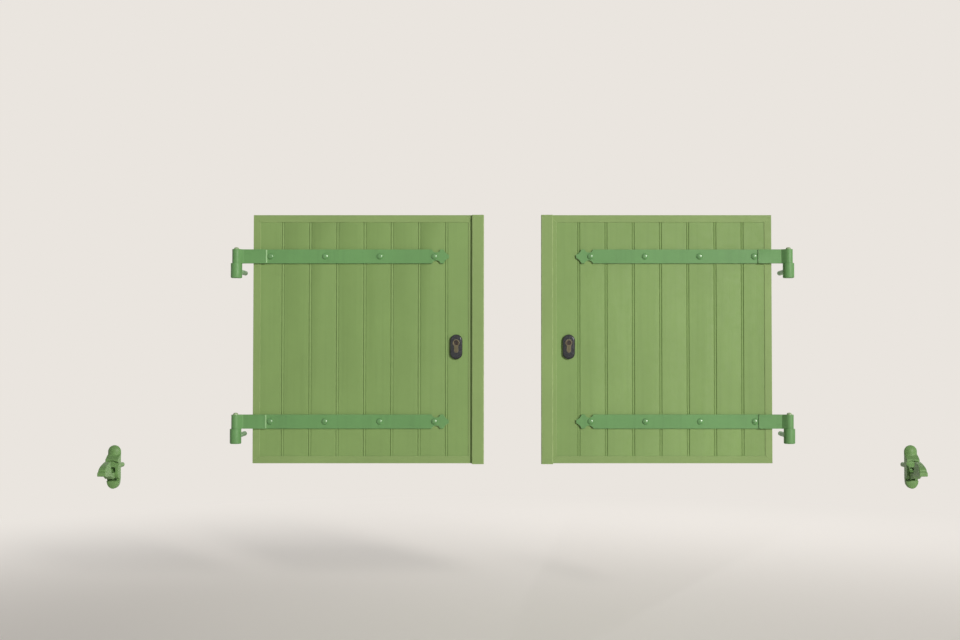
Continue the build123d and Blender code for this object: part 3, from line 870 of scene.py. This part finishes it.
@dataclass
class Lock:
    """Oval escutcheon, profile cylinder with its plug, and the surface lock case inside."""

    side: Side
    rim: float = 4.2 * MM
    closing: float = 0.995
    arc_steps: int = 28
    rim_steps: int = 7
    cylinder_easing: float = 0.35 * MM
    plug_easing: float = 0.25 * MM
    case_easing: float = 0.8 * MM
    bolt_easing: float = 0.3 * MM

    def build(self) -> None:
        """Build and dress the lock's pieces."""
        leaf = self.side.node("leaf")
        settle(self.escutcheon(), leaf, "escutcheon", self.side.node("lock_escutcheon"))
        cylinder = eased_copy(self.side.node("lock_cylinder"), Finish.BRASS, self.cylinder_easing)
        settle(cylinder, leaf, "brass")
        plug = eased_copy(self.side.node("cylinder_plug"), Finish.PLUG, self.plug_easing)
        settle(plug, self.side.node("plug"), "brass")
        case = eased_copy(self.side.node("lock_case"), Finish.STRAPS, self.case_easing)
        settle(case, leaf, "strap_paint")
        bolt = eased_copy(self.side.node("lock_bolt"), Finish.ZINC, self.bolt_easing)
        settle(bolt, self.side.node("deadbolt"), "zinc")

    def escutcheon(self) -> bpy.types.Object:
        """The shield, as oval rings that step inwards over its rounded rim.

        Returns:
            The piece. With r the rim's radius and a from 0 to 90 degrees, each ring lies inset by
            r (1 - cos a) and behind the front by r (1 - sin a). The rings close on the flat front and back.
        """
        low, high = (np.array(corner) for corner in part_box(self.side.node("lock_escutcheon")))
        centre = (low + high) / 2
        radius = (high[0] - low[0]) / 2
        rise = (high[2] - low[2]) / 2 - radius
        angle = np.linspace(0, 2 * pi, 2 * self.arc_steps, endpoint=False)
        lift = np.where(np.sin(angle) >= 0, rise, -rise)
        a = np.linspace(0, pi / 2, self.rim_steps)
        closed, thick = radius * self.closing, high[1] - low[1]
        inset = np.concatenate([[closed, 0.0], self.rim * (1 - np.cos(a)), [closed]])
        depth = low[1] + np.concatenate([[thick, thick], self.rim * (1 - np.sin(a)), [0.0]])
        ring = (radius - inset)[:, None]
        x = centre[0] + ring * np.cos(angle)
        y = np.broadcast_to(depth[:, None], x.shape)
        z = centre[2] + ring * np.sin(angle) + lift
        faces = grid_faces(len(inset), len(angle), True).tolist()
        numbers = np.arange(x.size).reshape(x.shape)
        faces += [numbers[0].tolist(), numbers[-1].tolist()]
        points = np.stack([x, y, z], axis=-1).reshape(-1, 3)
        return new_piece(self.side.node("oval_escutcheon"), points, faces, Finish.ESCUTCHEON)


@dataclass
class Holdback:
    """The wall body with its stop, and the tipping catch.

    Places on it are given by u, across from its middle, d, out from the wall, and h, up from the leaf's
    lower edge.
    """

    side: Side
    grain: float = 0.55 * MM
    body_passes: int = 14
    catch_passes: int = 18
    half_width: float = 16.0 * MM
    plate_camber: float = 0.80
    plate_heights: tuple[float, float] = (19.0 * MM, 23.0 * MM)
    foot_camber: float = 0.18
    foot_heights: tuple[float, float] = (22.4 * MM, 16.4 * MM)
    foot_taper: float = 0.14
    taper_heights: tuple[float, float] = (-36.0 * MM, -60.0 * MM)
    lid_edge: float = 8.6 * MM
    lid_arch: float = 5.0 * MM
    lid_softness: float = 1.6 * MM
    lid_depths: tuple[float, float] = (10.0 * MM, 18.0 * MM)
    under_lid: float = 7.0 * MM
    under_lid_heights: tuple[float, float] = (-10.0 * MM, 2.0 * MM)
    hood_fall: float = 28.0 * MM
    hood_depths: tuple[float, float] = (26.0 * MM, 36.0 * MM)
    crest_share: float = 0.72
    crest_depth: float = 54.7 * MM
    crest_run: float = 8.0 * MM
    ramp: tuple[float, float] = (38.0 * MM, 21.0 * MM)
    ramp_power: float = 1.7
    lip_height: float = -23.0 * MM
    sole: float = 0.35
    sole_depths: tuple[float, float] = (42.0 * MM, 54.0 * MM)

    @property
    def leaf_bottom(self) -> float:
        """The height of the leaf's lower edge."""
        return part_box(self.side.node("edging_bottom"))[0][2]

    def build(self) -> None:
        """Shape the body and the catch."""
        body = moulded_copy(
            self.side.node("holdback_body"), Finish.HOLDBACK, self.body_shape, self.grain, self.body_passes
        )
        settle(body, "wall_fixings", "holdback")
        catch = moulded_copy(
            self.side.node("holdback_catch"), Finish.HOLDBACK, self.catch_shape, self.grain, self.catch_passes
        )
        settle(catch, self.side.node("catch"), "holdback")

    def body_shape(self, points: np.ndarray) -> np.ndarray:
        """Camber the plate and the foot, taper the foot, and set the cheeks back under the stop's arched lid.

        Args:
            points: One row of X, Y and Z for each point.

        Returns:
            The rows moved. With r the distance from the middle line's end in shares of the half width w, the
            plate's and the foot's d is multiplied by 1 - camber r^2. Below the arch h = edge - arch (u/w)^2,
            d beyond the plate is drawn back by up to the lid's overhang. The foot's u is multiplied by
            1 - taper t, where t goes from 0 to 1 down the foot.
        """
        low, high = (np.array(corner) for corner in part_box(self.side.node("holdback_body")))
        middle = (low[0] + high[0]) / 2
        u = (points[:, 0] - middle) / self.half_width
        h = points[:, 2] - self.leaf_bottom
        out = np.maximum(-points[:, 1], 0.0)
        over = np.maximum(points[:, 2] - (high[2] - self.half_width), 0.0) / self.half_width
        under = np.maximum((low[2] + self.half_width) - points[:, 2], 0.0) / self.half_width
        plate = share(h, *self.plate_heights)
        foot = share(points[:, 2] - low[2], *self.foot_heights)
        out *= 1 - self.plate_camber * plate * np.minimum(u**2 + over**2, 1.0)
        out *= 1 - self.foot_camber * foot * np.minimum(u**2 + under**2, 1.0)
        arch = self.lid_edge - self.lid_arch * u**2
        below = share(arch - h, 0.0, self.lid_softness) * share(out, *self.lid_depths)
        out -= self.under_lid * below * share(h, *self.under_lid_heights)
        taper = 1 - self.foot_taper * share(h, *self.taper_heights)
        points[:, 0] = middle + u * self.half_width * taper
        points[:, 1] = np.where(points[:, 1] < 0, -out, points[:, 1])
        return points

    def catch_shape(self, points: np.ndarray) -> np.ndarray:
        """Narrow the hood towards its crest, round its ramp and lift the sole under it.

        Args:
            points: One row of X, Y and Z for each point.

        Returns:
            The rows moved. u is multiplied by crest + (1 - crest) s, where s goes smoothly from 0 at the
            hood's top to 1 where its sides are upright. With t the share of the ramp's height already
            fallen, the ramp goes from d = c + a t to d = c + a (1 - (1 - t)^p). The sole's depth below
            the lip is multiplied by its share.
        """
        low, high = (np.array(corner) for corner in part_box(self.side.node("holdback_catch")))
        middle = (low[0] + high[0]) / 2
        fall = high[2] - points[:, 2]
        s = share(fall, 0.0, self.hood_fall)
        s = s * s * (3 - 2 * s)
        hood = share(-points[:, 1], *self.hood_depths)
        points[:, 0] = middle + (points[:, 0] - middle) * (1 - hood * (1 - self.crest_share) * (1 - s))
        reach, drop = self.ramp
        t = share(fall, 0.0, drop)
        bulge = self.crest_run + reach * (1 - (1 - t) ** self.ramp_power)
        stretch = bulge / (self.crest_run + reach * t)
        beyond = np.maximum(-points[:, 1] - (self.crest_depth - self.crest_run), 0.0)
        points[:, 1] -= beyond * (stretch - 1)
        deeper = np.maximum(self.leaf_bottom + self.lip_height - points[:, 2], 0.0)
        points[:, 2] += deeper * (1 - self.sole) * share(-points[:, 1], *self.sole_depths)
        return points


@dataclass(frozen=True)
class Lamp:
    """A square lamp that faces the object from a direction, at a distance."""

    name: str
    direction: Triple
    distance: float
    size: float
    power: float
    colour: Triple
    reflected: bool = True

    def build(self, target: np.ndarray) -> None:
        """Set up the lamp.

        Args:
            target: What it points at.
        """
        light = bpy.data.lights.new(self.name, "AREA")
        light.shape = "SQUARE"
        light.size = self.size
        light.energy = self.power
        light.color = self.colour
        lamp = bpy.data.objects.new(self.name, light)
        bpy.context.scene.collection.objects.link(lamp)
        way = Vector(self.direction).normalized()
        lamp.location = Vector(target.tolist()) + way * self.distance
        lamp.rotation_euler = way.to_track_quat("Z", "Y").to_euler()
        lamp.visible_glossy = self.reflected


@dataclass
class Studio:
    """Pale floor and background, lamps, and the camera at the photograph's angle."""

    background: Colour = srgb(234, 229, 223)
    room_light: Colour = (0.93, 0.96, 1.0, 1)
    room_strength: float = 0.05
    lamps: tuple[Lamp, ...] = (
        Lamp("sun_window", (0.66, -1.0, 0.32), 14.0, 1.3, 1540.0, (1.0, 0.97, 0.92)),
        Lamp("sky_panel", (-0.4, -1.0, 0.9), 4.2, 3.2, 8.0, (0.90, 0.95, 1.0)),
        Lamp("back_panel", (0.3, 1.0, 0.4), 6.0, 4.5, 300.0, (1.0, 1.0, 1.0), reflected=False),
    )
    distance: float = 3.0
    focal_pixels: float = 1200.0
    sensor_width: float = 36.0
    centre_column: float = 512.5
    camera_height: float = -0.1987
    pitch: float = 1.45
    floor_drop: float = 0.45
    floor_reach: float = 14.0
    floor_melt: tuple[float, float] = (1.2, 3.6)

    def build(self) -> None:
        """Set up everything round the object."""
        low, high = (np.array(corner) for corner in CAD_BOUNDS)
        middle = (low + high) / 2
        self.world()
        self.floor(float(low[2]) - self.floor_drop, middle)
        for lamp in self.lamps:
            lamp.build(middle)
        self.camera(float(middle[0]))

    def world(self) -> None:
        """A pale backdrop for the camera and for reflections, and a dimmer light of its own on the object."""
        world = bpy.data.worlds.new("pale_room")
        bpy.context.scene.world = world
        world.use_nodes = True
        tree = world.node_tree
        tree.nodes.clear()
        path = tree.nodes.new("ShaderNodeLightPath")
        seen = path.outputs["Is Camera Ray"]
        for ray in ("Is Glossy Ray", "Is Transmission Ray"):
            either = tree.nodes.new("ShaderNodeMath")
            either.operation = "MAXIMUM"
            tree.links.new(seen, either.inputs[0])
            tree.links.new(path.outputs[ray], either.inputs[1])
            seen = either.outputs[0]
        light = tree.nodes.new("ShaderNodeBackground")
        light.inputs["Color"].default_value = self.room_light
        light.inputs["Strength"].default_value = self.room_strength
        shown = tree.nodes.new("ShaderNodeBackground")
        shown.inputs["Color"].default_value = self.background
        mix = tree.nodes.new("ShaderNodeMixShader")
        tree.links.new(seen, mix.inputs[0])
        tree.links.new(light.outputs[0], mix.inputs[1])
        tree.links.new(shown.outputs[0], mix.inputs[2])
        output = tree.nodes.new("ShaderNodeOutputWorld")
        tree.links.new(mix.outputs[0], output.inputs["Surface"])

    def floor(self, height: float, middle: np.ndarray) -> None:
        """A wide pale floor that melts into the backdrop away from the object.

        Args:
            height: The floor's height.
            middle: The object's middle.
        """
        corners = self.floor_reach * np.array([(-1, -1, 0), (1, -1, 0), (1, 1, 0), (-1, 1, 0)])
        corners += np.array([middle[0], middle[1], height])
        mesh = bpy.data.meshes.new("floor")
        mesh.from_pydata(corners.tolist(), [], [(0, 1, 2, 3)])
        floor = bpy.data.objects.new("floor", mesh)
        bpy.context.scene.collection.objects.link(floor)
        graph = Graph("pale_floor")
        centred = graph.add("Mapping", Vector=graph.place(), Location=(-middle[0], -middle[1], -height))
        far = graph.add("VectorMath", operation="LENGTH")
        graph.feed(far.inputs[0], centred.outputs["Vector"])
        path = graph.add("LightPath")
        shown = graph.math("MAXIMUM", path.outputs["Is Camera Ray"], path.outputs["Is Glossy Ray"])
        shown = graph.math("MAXIMUM", shown, path.outputs["Is Transmission Ray"])
        melted = graph.math("MULTIPLY", graph.span(far.outputs["Value"], *self.floor_melt), shown)
        lit = graph.add("BsdfPrincipled", Base_Color=self.background, Roughness=0.7)
        melt = graph.add("Emission", Color=self.background, Strength=1.0)
        mix = graph.add("MixShader")
        graph.feed(mix.inputs[0], melted)
        graph.feed(mix.inputs[1], lit.outputs[0])
        graph.feed(mix.inputs[2], melt.outputs[0])
        mesh.materials.append(graph.finish(mix))

    def camera(self, middle_x: float) -> None:
        """A camera straight in front of the pair's middle, tilted up a little, with the pair right of centre.

        Args:
            middle_x: The pair's middle along X.
        """
        data = bpy.data.cameras.new("camera")
        data.sensor_width = self.sensor_width
        data.lens = data.sensor_width * self.focal_pixels / IMAGE_WIDTH
        data.shift_x = -(self.centre_column - IMAGE_WIDTH / 2) / IMAGE_WIDTH
        camera = bpy.data.objects.new("camera", data)
        bpy.context.scene.collection.objects.link(camera)
        camera.location = (middle_x, -self.distance, self.camera_height)
        camera.rotation_euler = (radians(90 + self.pitch), 0, 0)
        bpy.context.scene.camera = camera


def main() -> None:
    """Build every sub-assembly in order and report each piece."""
    logging.basicConfig(level=logging.INFO, format="%(name)s: %(message)s")
    bpy.context.scene.view_settings.view_transform = "Standard"
    Studio().build()
    for side in Side:
        Leaf(side).build()
        StrapHinges(side).build()
        for level in ("upper", "lower"):
            Pintle(side, level).build()
        Lock(side).build()
        Holdback(side).build()


if __name__ == "__main__":
    main()
